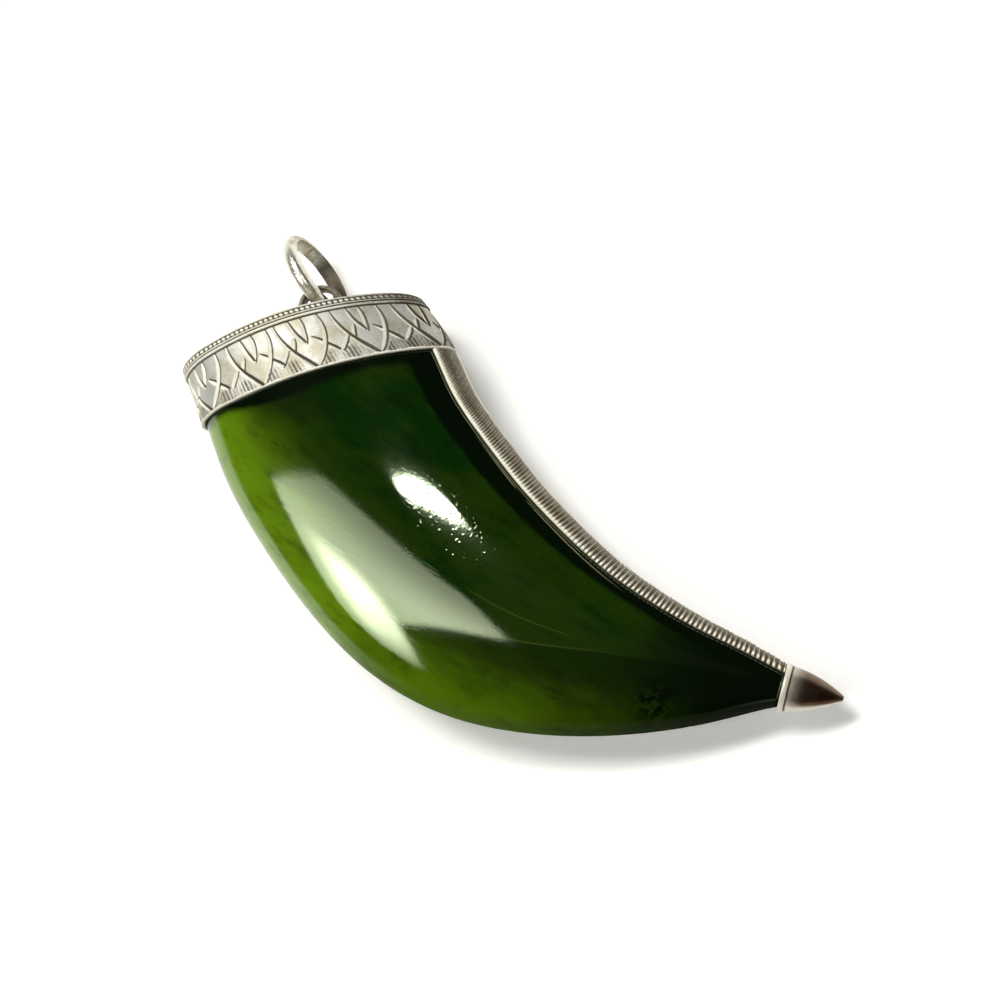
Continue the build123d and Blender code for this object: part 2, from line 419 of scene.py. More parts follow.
stone_columns, stone_rows = 176, 240
stone_facings, _ = even_facings(stone_columns, stone_width / 2, stone_depth / 2)
stone_top = cut_station(stone_facings, 0.0, plate_thick + fit_gap, collar_arch)
share = np.linspace(0, 1, stone_rows)[:, None]
stone_along = stone_top + (stone_end - fit_gap - stone_top) * share
stone = surface(stone_along, stone_facings)
stone = np.concatenate([stone.reshape(-1, 3), [head_down * (plate_thick + fit_gap), stone[-1].mean(0)]])
stone_row = section_at(stone_along)
stone_across, _ = oval_point(stone_row[..., 3], stone_row[..., 4], stone_facings, 0.0)
from_hollow = stone_row[..., 3] - stone_across
stone_across = 0.5 + 0.5 * stone_across / stone_row[..., 3]      # 0 at the full edge, 1 at the hollow edge
# Two faint ridges in the polish: along the claw, and place across it.
LINE_ALONG = ((25.7, 0.25), (28.2, 0.36), (31.5, 0.45), (34.9, 0.52), (37.6, 0.57), (41.4, 0.60),
              (45.2, 0.62), (49, 0.68))
VEIN_ALONG = ((26.8, 0.53), (29.4, 0.55), (31.8, 0.57), (34.1, 0.59))
stone_line, stone_vein = ((stone_across - np.interp(stone_along, *np.array(rows).T)) * 2 * stone_row[..., 3]
                          for rows in (LINE_ALONG, VEIN_ALONG))
stone_past_foot = depth_past(surface(stone_along, stone_facings), collar_height, foot_arch)

fleck_place = (13.2, -16.4, 6.3)     # a cluster of dark flecks near the point, as a place in the picture
rub_place = (-1.0, -3.0, 10.0)       # where wear has chipped the face
fleck_reach, rub_reach = (2.3, 0.7), (5.5, 2.0)
deep_green, olive_green = (0.0009, 0.0200, 0.0003), (0.0105, 0.0310, 0.0004)
glow_green, shade_and_speck_green = (0.139, 0.270, 0.0050), (0.0006, 0.0034, 0.0004)
glint_green, ridge_green = (0.20, 0.19, 0.10), (0.055, 0.085, 0.012)
cloud_waves, wisp_waves, patch_waves, fleck_waves, pit_waves = 0.11, 0.55, 0.9, 1.7, 7.0    # a millimetre
speck_apart, chip_apart = 3.4, 0.36
# Where each mark begins and is full, or ends, in millimetres along the claw.
olive_along, glow_along, shade_along, tip_along = (10, 34), (62, 26), (44, 10), (31, 52)
line_along, line_fades, vein_along, vein_fades = (24, 27), (41, 33), (26, 28), (36, 33)
below_along, glint_along, glint_fades, dull_along = (22, 26), (14, 20), (36, 30), (18, 30)
glint_middle = 1.40                  # from the hollow edge
chip_depth, scratch_depth, pit_depth, wisp_depth = 0.006, 0.0006, 0.0011, 0.0016
polish_rough = 0.03
jade = Finish("deep_green_jade", IOR=1.70, Specular_IOR_Level=1.0, Specular_Tint=(0.88, 1.0, 0.70, 1))
place = jade.place()
grain = jade.place((0.35, 1, 1), -40)
cloud, wisp = jade.noise(place, cloud_waves, 3.0), jade.noise(grain, wisp_waves, 5.0, 0.6)
across, along, hollow, past_foot = (jade.mark(name) for name in ("across", "along", "hollow", "past_foot"))


def distance_from(picture_place):
    """Millimetres from a place in the picture."""
    return jade.add("ShaderNodeVectorMath", {"operation": "DISTANCE"},
                    {0: jade.place(), 1: picture_to_table(*picture_place) / millimetre}, out=1)


# Painted light and shade: a painted glow of light through the thin full edge, painted shade along the hollow
# edge and under the collar, and darker towards the point.
olive = jade.between(0.43, 0.59, cloud * 0.50 + wisp * 0.50 + jade.between(*olive_along, along) * 0.10)
# A painted glow: light shining through the thin full edge, in a paler green.
edge_glow = jade.between(0.51, 0.02, across + (wisp - 0.5) * 0.30) ** 1.6 * jade.between(*glow_along, along)
# Painted shade along the hollow edge, wider towards the collar.
shade_and_point_dark = jade.between(0.25, -0.25,
                    hollow - jade.between(*shade_along, along) * 1.4 - 1.7 + (wisp - 0.5) * 0.5)
# Painted shade just under the collar, and a wider patch of painted shade below its middle.
shade_under_collar = jade.between(1.3, 0.1, past_foot + (cloud - 0.5) * 2.0 - across * 0.4)
collar_shade_blotch = jade.between(6.0, 0.5, past_foot + (wisp - 0.5) * 3) * jade.between(0.13, 0.28, across)
collar_shade_blotch = collar_shade_blotch * jade.between(0.62, 0.36, across) * 0.62
tip_dark = jade.between(*tip_along, along + (cloud - 0.5) * 14) * 0.95
shade_and_point_dark = jade.between(0.0, 1.0, shade_and_point_dark + shade_under_collar + collar_shade_blotch + tip_dark)
colour = jade.blend(edge_glow, jade.blend(olive, deep_green, olive_green), glow_green)
patch = jade.between(0.50, 0.66, jade.noise(grain, patch_waves, 5.0, 0.7)) * 0.35
speck = jade.between(0.10, 0.04, jade.specks(place, speck_apart) + wisp * 0.05)
fleck = jade.between(0.46, 0.54, jade.noise(place, fleck_waves, 3.0, 0.6))
fleck = fleck * jade.between(*fleck_reach, distance_from(fleck_place))
colour = jade.blend(patch + speck * 0.6 + fleck, jade.blend(shade_and_point_dark, colour, shade_and_speck_green), shade_and_speck_green)
# A painted glint: a thin light line near the hollow edge, a painted reflection of the strip's edge in the
# polish.
off_glint = hollow - glint_middle
rim_glint = jade.between(0.03, 0.01, off_glint * off_glint * 8) * jade.between(0.38, 0.50, wisp)
rim_glint = rim_glint * jade.between(*glint_along, along) * jade.between(*glint_fades, along)
colour = jade.blend(rim_glint, colour, glint_green)
# The stone is a little darker below the first ridge, and both ridges are lighter.
line, vein = jade.mark("line"), jade.mark("vein")
below_line = jade.between(0.05, -0.05, line) * jade.between(*below_along, along)
colour = jade.blend(below_line * 0.40, colour, shade_and_speck_green)
ridge = jade.between(0.012, 0.001, line * line) * jade.between(*line_along, along)
ridge = ridge * jade.between(*line_fades, along)
vein_ridge = jade.between(0.006, 0.001, vein * vein) * jade.between(*vein_along, along)
ridge = ridge + vein_ridge * jade.between(*vein_fades, along)
colour = jade.blend(ridge * 0.55, colour, ridge_green)
pit = jade.noise(place, pit_waves, 2.0)
scratch = jade.between(0.58, 0.70, jade.noise(jade.place((0.25, 3, 3), 35), 1.6, 2.0))
chip = jade.between(0.34, 0.05, jade.specks(place, chip_apart))
chip = chip * jade.between(0.47, 0.58, jade.noise(place, 1.3, 3.0))
chip = chip * jade.between(*rub_reach, distance_from(rub_place))
relief = jade.bump(scratch, scratch_depth, jade.bump(pit, pit_depth, jade.bump(wisp, wisp_depth)))
jade.feed(Base_Color=colour, Roughness=pit * 0.05 + polish_rough, Normal=jade.bump(chip, chip_depth, relief))
# Under its full edge the polish is gone, and the stone is matt.
dull = jade.between(0.34, 0.12, across) * jade.between(*dull_along, along) * 0.96
matt = jade.add("ShaderNodeBsdfPrincipled", {},
                {"Base Color": colour, "Roughness": 0.8, "Specular IOR Level": 0.0})
skin = jade.add("ShaderNodeMixShader", {}, {0: dull, 1: Value(jade, jade.shader.outputs[0]), 2: matt})
jade.tree.links.new(skin.socket, jade.tree.nodes["Material Output"].inputs["Surface"])
make_piece("claw_stone_polished", lay(stone), tube_faces(stone_rows, stone_columns), jade,
           "pendant", "claw_stone", "jade", across=stone_across, along=stone_along + 0 * stone_facings,
           hollow=from_hollow, past_foot=stone_past_foot, line=stone_line, vein=stone_vein)


# The collar
# A band of silver sheet, bent round the head of the claw and soldered to a top plate and a beaded rim.
# It is engraved by hand with bright cuts: long pointed petals that interlace with smaller ones between
# them, a short petal inside each, and fine upright strokes that fill the ground down to the foot.
collar_wall = 0.32
rim_height = 0.95
rim_step = 0.14
petal_count = 11
petal_start = 0.03           # where the first petal stands, as a share of a petal's width from the full edge
cut_depth = 0.12
cut_dark_side = 0.15         # width of the steep side of a bright cut, which takes painted shade
cut_bright_side = 0.27       # width of its wide side, which catches the light and takes a painted highlight
cut_swells, cut_dies_out = (-0.06, 0.30), (-0.05, 0.22)    # shares of a cut from its start and its end
stroke_pitch = 0.31
stroke_depth = 0.035
stroke_lean = 0.10
stroke_top = (0.66, 0.78)    # where the upright strokes begin, as a share of the band's height
clear_of_lines = (0.12, 0.22)
petal_drift, line_wobble, engraver_seed = 0.03, 0.05, 8
drawn_reach = 1.15           # how far from its middle a petal's lines are drawn, in petals
# The lines of one petal as they are drawn: a name, how far the line turns from bright to dark towards its
# end, and its points across in petals from the middle and down the band.
LINE_ROWS = (
    ("long left", 0.0,
     ((-0.40, 0.0), (-0.405, 0.2), (-0.375, 0.36), (-0.28, 0.60), (-0.15, 0.81), (0.0, 1.0))),
    ("long right", 1.0,
     ((0.40, 0.0), (0.405, 0.2), (0.375, 0.36), (0.28, 0.60), (0.15, 0.81), (0.0, 1.0))),
    ("tick", 0.0, ((0.154, 0.34), (0.21, 0.47), (0.268, 0.61))),
    ("between left", 0.0, ((0.33, 0.52), (0.44, 0.66), (0.535, 0.785))),
    ("between right", 0.5, ((-0.132, 0.41), (-0.258, 0.55), (-0.42, 0.74), (-0.465, 0.785))),
    ("short left", 0.0, ((-0.10, 0.0), (-0.10, 0.15), (-0.073, 0.29), (0.0, 0.52))),
    ("short right", 0.5, ((0.12, 0.0), (0.118, 0.22), (0.08, 0.36), (0.01, 0.50))),
)
between_tip = (0.535, 0.785)     # the point of a small petal, across in petals and down the band
between_slope = 1.25
foot_line_top = (0.955, 0.965)
line_points = 13
collar_columns, band_rows, rim_columns = 900, 84, 768

band_half_width = sections[1, 3]
collar_facings, girth = even_facings(collar_columns, band_half_width, sections[1, 4], fit_gap + collar_wall)
petal_pitch = girth / petal_count
band_out = fit_gap + collar_wall
rim_out = band_out + rim_step
rim_station = cut_station(collar_facings, band_out, rim_height, collar_arch)
foot_station = cut_station(collar_facings, band_out, collar_height, foot_arch)
round_band = np.arange(collar_columns) / collar_columns * girth
random = np.random.default_rng(engraver_seed)


def drawn_line(points, wobble):
    """A drawn line as a smooth run of points across and down the band, in millimetres."""
    across, down = np.array(points).T
    fine = np.linspace(down[0], down[-1], line_points)
    across = smooth_through(down, across)(fine) * petal_pitch
    across = across + wobble * np.sin(pi * (fine - down[0]) / (down[-1] - down[0]))
    return np.stack([across, fine * band_tall], -1)


band_tall = float(np.mean(np.linalg.norm(surface(foot_station, collar_facings, band_out)
                                         - surface(rim_station, collar_facings, band_out), axis=-1)))
down_band = np.linspace(0, band_tall, band_rows)
across_grid, down_grid = np.meshgrid(round_band, down_band)


def line_distance(across, down, curve):
    """Distance from points to a drawn line, less than zero on its left, and how far along it they lie."""
    best = np.full(across.shape, 1e9)
    place = np.zeros(across.shape)
    for k in range(len(curve) - 1):
        (x0, y0), (x1, y1) = curve[k], curve[k + 1]
        along = np.clip(((across - x0) * (x1 - x0) + (down - y0) * (y1 - y0))
                        / ((x1 - x0) ** 2 + (y1 - y0) ** 2), 0, 1)
        distance = np.hypot(across - x0 - along * (x1 - x0), down - y0 - along * (y1 - y0))
        nearer = distance < best
        best = np.where(nearer, distance, best)
        place = np.where(nearer, (k + along) / (len(curve) - 1), place)
    order = np.argsort(curve[:, 1])
    left = across < np.interp(down, curve[order, 1], curve[order, 0])
    return np.where(left, -best, best), place


def step_up(value, low, high):
    """0 below low, 1 above high and smooth between."""
    share = np.clip((value - low) / (high - low), 0, 1)
    return share * share * (3 - 2 * share)


def bright_cut(across, down, curve, closing):
    """Depth of a graver's cut along a line, with masks of painted shade on its steep side and of a painted
    highlight on its wide side.
    """
    distance, place = line_distance(across, down, curve)
    taper = step_up(place, *cut_swells) * step_up(1 - place, *cut_dies_out)
    dark = cut_dark_side * (0.7 + 0.3 * taper) * (1 + closing * 1.6 * place ** 2)
    bright = cut_bright_side * (0.30 + 0.70 * taper) * (1 - closing * 0.55 * place ** 2)
    inside = (place > 0) & (place < 1)
    bottom = -bright * 0.35
    wall = np.where(distance < bottom, 1 - (bottom - distance) / dark, 1 - (distance - bottom) / bright)
    depth = cut_depth * (0.4 + 0.6 * taper) * np.clip(wall, 0, 1) * inside
    shade = np.clip(1.3 - np.abs(distance - bottom + dark / 2) / (0.6 * dark), 0, 1) * inside
    shine = step_up(distance, bottom, bottom + 0.04) * step_up(bottom + bright - distance, -0.02, 0.03)
    return depth, shade, shine * inside


cut, dark, shiny = (np.zeros(across_grid.shape) for _ in range(3))
for petal in range(petal_count):
    centre = (petal + petal_start + random.normal(0, petal_drift)) * petal_pitch
    here = (across_grid - centre + girth / 2) % girth - girth / 2
    near = np.abs(here[0]) < drawn_reach * petal_pitch
    x, y = here[:, near], down_grid[:, near]
    lines = {}
    for name, closing, points in LINE_ROWS:
        lines[name] = drawn_line(points, random.normal(0, line_wobble))
        found = bright_cut(x, y, lines[name], closing)
        over = {"long right": "tick", "between right": "long left"}.get(name)
        clear = 1.0
        if over in lines:
            clear = step_up(np.abs(line_distance(x, y, lines[over])[0]), *clear_of_lines)
        for total, part in zip((cut, dark, shiny), found):
            total[:, near] = np.maximum(total[:, near], part * clear)
    long_half = np.interp(y, lines["long right"][:, 1], lines["long right"][:, 0])
    past_petals = np.minimum(x - long_half, petal_pitch - x - long_half)
    past_between = y / band_tall - between_tip[1] + between_slope * np.abs(x / petal_pitch - between_tip[0])
    ground = step_up(np.minimum(past_petals, past_between * band_tall), *clear_of_lines)
    ground = ground * step_up(y / band_tall, *stroke_top)
    stroke = (x + stroke_lean * y) / stroke_pitch
    strength = 0.7 + 0.3 * np.sin(7.3 * np.floor(stroke) + petal)
    wave = 1 - np.abs(2 * (stroke % 1) - 1)
    cut[:, near] = np.maximum(cut[:, near], stroke_depth * wave * strength * ground)
    dark[:, near] = np.maximum(dark[:, near], (0.30 + 0.50 * wave ** 1.5) * strength * ground)
hollow_side = step_up(np.cos(collar_facings), -0.1, 0.8)     # painted shade over the strip, on the side turned from the light
dark = np.clip(dark + 0.30 * hollow_side * (1 - shiny), 0, 1)
# A bright line along the foot: a painted highlight on its raised edge.
foot_wobble = 0.008 * np.sin(2.3 * across_grid) + 0.006 * np.sin(7.1 * across_grid + 1)
foot_line = step_up(down_grid / band_tall + foot_wobble, *foot_line_top)
dark *= 1 - foot_line
shiny = np.maximum(shiny * (1 - dark), 0.8 * foot_line)

# The rim from its top down: a plain edge, a row of beads in a channel, a groove and a plain lower edge.
edge_round = 0.12
bead_count = 111
bead_middle, bead_radius = 0.34, 0.15
channel_top, channel_foot, foot_slope, channel_depth = (0.15, 0.20), 0.52, 0.04, 0.10
groove_middle, groove_half, groove_depth = 0.66, 0.05, 0.12
lower_edge_height = 0.10
rim_rows = 27
rim_facings, _ = even_facings(rim_columns, band_half_width, sections[1, 4], band_out)
bead_pitch = girth / bead_count
rim_top = cut_station(rim_facings, rim_out, 0.0, collar_arch)
rim_foot = cut_station(rim_facings, band_out, rim_height, collar_arch)
across_rim, down_rim = np.meshgrid(np.arange(rim_columns) / rim_columns * girth,
                                   np.linspace(0, rim_height, rim_rows))
above_edge = np.clip(edge_round - down_rim, 0, None)
rim_rise = -edge_round + np.sqrt(np.clip(edge_round ** 2 - above_edge ** 2, 0, None))
channel = step_up(down_rim, *channel_top) * step_up(channel_foot - down_rim, 0.0, foot_slope)
rim_worn_and_shaded = step_up(np.cos(rim_facings), -0.1, 0.7)     # the beads are worn down over the strip, where the rim also takes painted shade
to_bead = np.hypot((across_rim + bead_pitch / 2) % bead_pitch - bead_pitch / 2,
                   (down_rim - bead_middle) * bead_pitch / (2 * bead_radius)) / (bead_pitch / 2)
rim_rise -= channel * channel_depth * (1 - 0.6 * rim_worn_and_shaded) * (1 - np.sqrt(np.clip(1 - to_bead ** 2, 0, 1)))
groove = np.clip(1.2 - np.abs(down_rim - groove_middle) / groove_half, 0, 1)
rim_rise -= groove_depth * groove
lower_edge = np.clip((down_rim - (rim_height - lower_edge_height)) / lower_edge_height, 0, 1)
rim_rise -= rim_step * lower_edge ** 2
# Painted shade in the gaps between the beads, in the groove, under the lower edge and over the strip, and
# darker at the top edge. Painted highlights on the beads, fainter over the rest.
rim_dark = np.clip(channel * step_up(to_bead, 0.65, 0.95) + groove + 0.9 * lower_edge ** 3 + 0.60 * rim_worn_and_shaded
                   + 0.6 * step_up(0.05 - down_rim, 0.0, 0.03), 0, 1)
rim_shiny = (1 - rim_dark) * np.maximum(channel * step_up(0.8 - to_bead, 0, 0.3), 0.6)

plate_shares = np.array((0.12, 0.35, 0.6, 0.8, 0.915, 0.93, 0.945, 0.985))
plate_dents = np.array((0.0, 0.0, 0.0, 0.0, 0.0, 0.05, 0.0, 0.0))
top_edge = surface(rim_top, rim_facings, rim_out - edge_round)
local_x = top_edge @ head_across
plate = []
for share, dent in zip(plate_shares, plate_dents):
    arch_drop = collar_arch - np.sqrt(collar_arch ** 2 - (local_x * share) ** 2)
    plate.append(np.outer(local_x * share, head_across) + np.outer(arch_drop + dent, head_down)
                 + np.outer(top_edge[:, 2] * share, (0, 0, 1)))
rim = surface(rim_top + (rim_foot - rim_top) * (down_rim / rim_height), rim_facings, rim_out + rim_rise)
under = surface(cut_station(rim_facings, fit_gap, plate_thick, collar_arch), rim_facings, fit_gap)
rim_inner = surface(rim_foot + 0.04, rim_facings, fit_gap)
rim_rings = np.concatenate([np.array(plate), rim, rim_inner[None], under[None]])
rim_marks = np.zeros((2, *rim_rings.shape[:2]))
rim_marks[0, len(plate_shares) - 3] = 0.8
rim_marks[:, len(plate_shares):-2] = rim_dark, rim_shiny
rim_points = np.concatenate([rim_rings.reshape(-1, 3), [(0, 0, 0), head_down * plate_thick]])

band = surface(rim_station + (foot_station - rim_station) * (down_grid / band_tall), collar_facings,
               band_out - cut - 0.08 * step_up(down_grid / band_tall, 0.985, 1.0) + 0.05 * foot_line)
tooth = 0.03 * (1 - np.abs(2 * (round_band / stroke_pitch % 1) - 1))
foot_inner = surface(foot_station + 0.04 - tooth, collar_facings, fit_gap + 0.06)
inside = [surface(foot_station - rise, collar_facings, fit_gap) for rise in (0.1, 1.4, 2.8)]
inside.append(surface(rim_station, collar_facings, fit_gap))
band_rings = np.concatenate([band, foot_inner[None], np.array(inside)])
band_marks = np.zeros((2, *band_rings.shape[:2]))
# The cut mark: painted shade in the cuts and over the strip, dark hatching, and darker just under the rim.
# The shine mark: painted highlights.
band_marks[0, :band_rows] = np.maximum(dark, 0.9 * step_up(0.14 - down_grid, 0.0, 0.12))
band_marks[1, :band_rows] = shiny

# The colours of the painted highlight, and of tarnish and painted shade.
silver_shine, tarnish_shade_brown = (0.98, 0.96, 0.80), (0.050, 0.034, 0.016)
silver_cloud_waves, silver_speck_waves, silver_scratch_waves = 0.45, 5.0, 3.5    # a millimetre
speck_height, scratch_height = 0.004, 0.009


def worn_silver_with_painted_light(name, plain, warm, rough, tarnish_and_shade, metal):
    """Silver with painted light: a painted highlight where its shine mark lies, tarnish and painted shade
    where its cut mark lies, cloudy patina and fine scratches.
    """
    silver = Finish(name)
    place = silver.place()
    dark, shine = silver.mark("cut"), silver.mark("shine")
    cloud, speck = silver.noise(place, silver_cloud_waves), silver.noise(place, silver_speck_waves, 2.0)
    skin = silver.blend(silver.between(0.38, 0.66, cloud + (speck - 0.5) * 0.3), plain, warm)
    shade = silver.between(0.15, 0.85, dark + (speck - 0.5) * 0.35)
    # Where the cut mark lies, tarnish and painted shade darken the silver; where the shine mark lies, a
    # painted highlight whitens it.
    colour = silver.blend(shade * tarnish_and_shade, silver.blend(shine, skin, silver_shine), tarnish_shade_brown)
    scratch = silver.noise(silver.place((1, 6, 1), 20), silver_scratch_waves, 4.0, 0.7)
    silver.feed(Base_Color=colour, Metallic=metal - shine * metal * 0.9,
                Roughness=(cloud - 0.5) * 0.12 + rough + shade * 0.25 + shine * 0.15,
                Normal=silver.bump(speck, speck_height, silver.bump(scratch, scratch_height)))
    return silver


engraved_silver = worn_silver_with_painted_light("engraved_silver", plain=(0.58, 0.58, 0.53), warm=(0.42, 0.385, 0.28),
                              rough=0.42, tarnish_and_shade=0.95, metal=0.40)
make_piece("collar_rim", lay(rim_points), tube_faces(len(rim_rings), rim_columns), engraved_silver,
           "pendant", "collar", "engraved_silver", cut=rim_marks[0], shine=rim_marks[1])
make_piece("collar_band", lay(band_rings), tube_faces(len(band_rings), collar_columns, "joined"),
           engraved_silver, "pendant", "collar", "engraved_silver", cut=band_marks[0], shine=band_marks[1])


# The eye
# A flat strap of silver, bent into an arch and soldered to the top plate, with the ring through it.
eye_bore = 2.9
eye_strap = 0.42
eye_width = 1.2
eye_rise = 2.7
eye_shift = 1.95             # from the middle of the rim, along it
strap_corner = 0.45          # how square the strap's section is: 1 would be an oval
solder_height, solder_swell = 0.35, 0.35
eye_steps, strap_points = 56, 24
arch_radius = (eye_bore + eye_strap) / 2
arch_height = eye_rise - eye_bore / 2 - eye_strap
leg_length = arch_height + plate_thick / 2
leg_share = leg_length / (2 * leg_length + pi * arch_radius)
turn = np.linspace(0, 2 * pi, strap_points, endpoint=False)
thick = eye_strap / 2 * np.sign(np.cos(turn)) * np.abs(np.cos(turn)) ** strap_corner
wide = eye_width / 2 * np.sign(np.sin(turn)) * np.abs(np.sin(turn)) ** strap_corner
eye_rings = []
for step in np.linspace(0, 1, eye_steps):
    if step < leg_share:
        centre, outward = (-arch_radius, -plate_thick / 2 + leg_length * step / leg_share), (-1.0, 0.0)
    elif step > 1 - leg_share:
        centre, outward = (arch_radius, -plate_thick / 2 + leg_length * (1 - step) / leg_share), (1.0, 0.0)
    else:
        swing = pi * (1 - (step - leg_share) / (1 - 2 * leg_share))
        outward = (cos(swing), sin(swing))
        centre = (arch_radius * outward[0], arch_height + arch_radius * outward[1])
    fillet = 1 + solder_swell * max(0.0, 1 - max(0.0, centre[1]) / solder_height) ** 2
    x = centre[0] + outward[0] * thick * fillet
    y = centre[1] + outward[1] * thick * fillet
    eye_rings.append(np.outer(eye_shift + x, head_across) - np.outer(y, head_down)
                     + np.outer(wide * fillet, (0, 0, 1)))
eye_rings = np.array(eye_rings)
eye_points = np.concatenate([eye_rings.reshape(-1, 3), [eye_rings[0].mean(0), eye_rings[-1].mean(0)]])
polished_silver = worn_silver_with_painted_light("polished_silver", plain=(0.84, 0.82, 0.72), warm=(0.33, 0.27, 0.18),
                              rough=0.25, tarnish_and_shade=0.9, metal=0.75)
# Painted shade over the whole eye, deepest on its inner side.
eye_shade = np.outer(np.ones(eye_steps), 0.7 + 0.3 * step_up(-np.cos(turn), -0.2, 0.4))
make_piece("collar_eye", lay(eye_points), tube_faces(eye_steps, strap_points), polished_silver,
           "pendant", "collar", "engraved_silver", cut=eye_shade)


# The edge strip
# A silver ribbon pressed round the hollow edge of the claw. A wheel has milled it with slanting cuts. Near
# the collar its two rails and its crest are left plain, with a painted highlight, and further on the cuts
# run through them.
strip_thick = 0.32
strip_cover = 0.097          # how far it covers each face in plan, as a share of the section's depth
seam_gap = 0.06
rail_width = 0.17
rail_rounding = 0.10
mill_depth = 0.12
leaf_half_width = 0.44       # of a cut where it is widest, as a share of the pitch
cut_through, through_along = 0.62, (17, 27)    # how wide the cuts leave through the rails, and from where
crest_shares, crest_end, crest_fade = (0.80, 0.90), 26, 6
lead_in = 4                  # over this length the cuts follow the collar's foot
facing_samples, length_samples = 600, 4001
MILL_ROWS = ((0, 0.22), (6, 0.24), (12, 0.32), (20, 0.42), (28, 0.50), (60, 0.50))   # along the strip, pitch
SLANT_ROWS = ((0, 0.75), (8, 0.45), (20, 0.18), (60, 0.10))    # along the strip, lean of the cuts
steps_a_cut, strip_columns = 9, 38
strip_start = float(cut_station(np.zeros(1), fit_gap + strip_thick, collar_height + seam_gap, foot_arch)[0])
strip_end = mouth_station - seam_gap
fine_along = np.linspace(0, strip_end - strip_start, length_samples)
fine_pitch = np.interp(fine_along[1:], *np.array(MILL_ROWS).T)
cut_count = np.concatenate([[0.0], np.cumsum(np.diff(fine_along) / fine_pitch)])
strip_steps = int(cut_count[-1] * steps_a_cut)
strip_along = np.interp(np.linspace(0, cut_count[-1], strip_steps), cut_count, fine_along)
strip_count = np.linspace(0, cut_count[-1], strip_steps)[:, None]
row = section_at(strip_start + strip_along)
rail_x = row[:, 3] - strip_cover * 2 * row[:, 4]
fine_facing = np.linspace(0, pi / 2, facing_samples)
rail_facing = np.empty(strip_steps)
for k in range(strip_steps):
    x, _ = oval_point(row[k, 3], row[k, 4], fine_facing, fit_gap + strip_thick)
    rail_facing[k] = np.interp(-rail_x[k], -x, fine_facing)
facing = rail_facing[:, None] * np.linspace(1, -1, strip_columns)[None, :]
foot_at = cut_station(facing[0], fit_gap + strip_thick, collar_height + seam_gap, foot_arch)
lead = (foot_at - strip_start)[None, :] * np.clip(1 - strip_along / lead_in, 0, 1)[:, None] ** 2
strip_station = strip_start + strip_along[:, None] + lead
skin = surface(strip_station, facing, fit_gap + strip_thick)
from_crest = np.cumsum(np.concatenate([np.zeros((strip_steps, 1)),
                                       np.linalg.norm(np.diff(skin, axis=1), axis=-1)], 1), 1)
half_girth = from_crest[:, -1:] / 2
from_rail = np.minimum(from_crest, from_crest[:, -1:] - from_crest)
slant = np.interp(strip_along, *np.array(SLANT_ROWS).T)[:, None]
pitch = np.interp(strip_along, *np.array(MILL_ROWS).T)[:, None]
phase = strip_count + slant * (half_girth - np.abs(from_crest - half_girth)) / pitch
rail_here = np.minimum(rail_width, half_girth * 0.16)
leaf_along = np.clip((from_rail - rail_here * 0.45) / (half_girth - rail_here * 0.45), 0, 1)
through = cut_through * step_up(strip_along, *through_along)[:, None]
leaf_half = leaf_half_width * np.maximum(np.clip(leaf_along * 4.0, 0, 1) ** 0.7, through)
near_crest = step_up(leaf_along, *crest_shares) * step_up(crest_end - strip_along, 0, crest_fade)[:, None]
leaf_half = leaf_half * (1 - near_crest)
leaf = step_up(leaf_half - np.abs(phase % 1 - 0.5), -0.05, 0.10) * (1 - near_crest)
leaf *= np.maximum(leaf_along > 0, through > 0.1)
mill_cut = mill_depth * leaf * (0.85 + 0.15 * np.sin(5.1 * np.floor(phase)))
rail_round = rail_rounding * np.clip(1 - from_rail / rail_rounding, 0, 1) ** 2
skin = surface(strip_station, facing, fit_gap + strip_thick - mill_cut - rail_round)
lining = surface(strip_station, facing, fit_gap)[:, ::-1]
strip_rings = np.concatenate([skin, lining], 1)
leaf_side = step_up(np.abs(phase % 1 - 0.5) / np.maximum(leaf_half, 0.1), 0.35, 0.8)
leaf_dark = leaf * np.maximum(0.66 + 0.34 * leaf_side, 1.5 - 1.8 * leaf_along).clip(0, 1)
leaf_dark *= 0.92 + 0.08 * np.sin(3.7 * np.floor(phase))
strip_dark = np.concatenate([leaf_dark, np.zeros_like(leaf)], 1)
# Painted highlights on the rails and the plain crest, and a faint painted sheen over the whole face.
rail_shine = np.maximum(1 - step_up(from_rail, rail_here * 0.9, rail_here * 1.8), 0.9 * near_crest)
strip_shine = np.concatenate([np.maximum(rail_shine, 0.15), np.zeros_like(leaf)], 1)
strip_shine[:, :strip_columns] *= 1 - leaf
strip_faces = tube_faces(strip_steps, 2 * strip_columns, "open")
last = (strip_steps - 1) * 2 * strip_columns
for k in range(strip_columns - 1):
    other = 2 * strip_columns - 1 - k
    strip_faces.append((k, other, other - 1, k + 1))
    strip_faces.append((last + k, last + k + 1, last + other - 1, last + other))
milled_silver = worn_silver_with_painted_light("milled_silver", plain=(0.58, 0.53, 0.39), warm=(0.36, 0.29, 0.17),
                            rough=0.34, tarnish_and_shade=0.95, metal=0.45)
make_piece("edge_strip_milled", lay(strip_rings), strip_faces, milled_silver, "pendant", "edge_strip",
           "milled_silver", cut=strip_dark, shine=strip_shine)


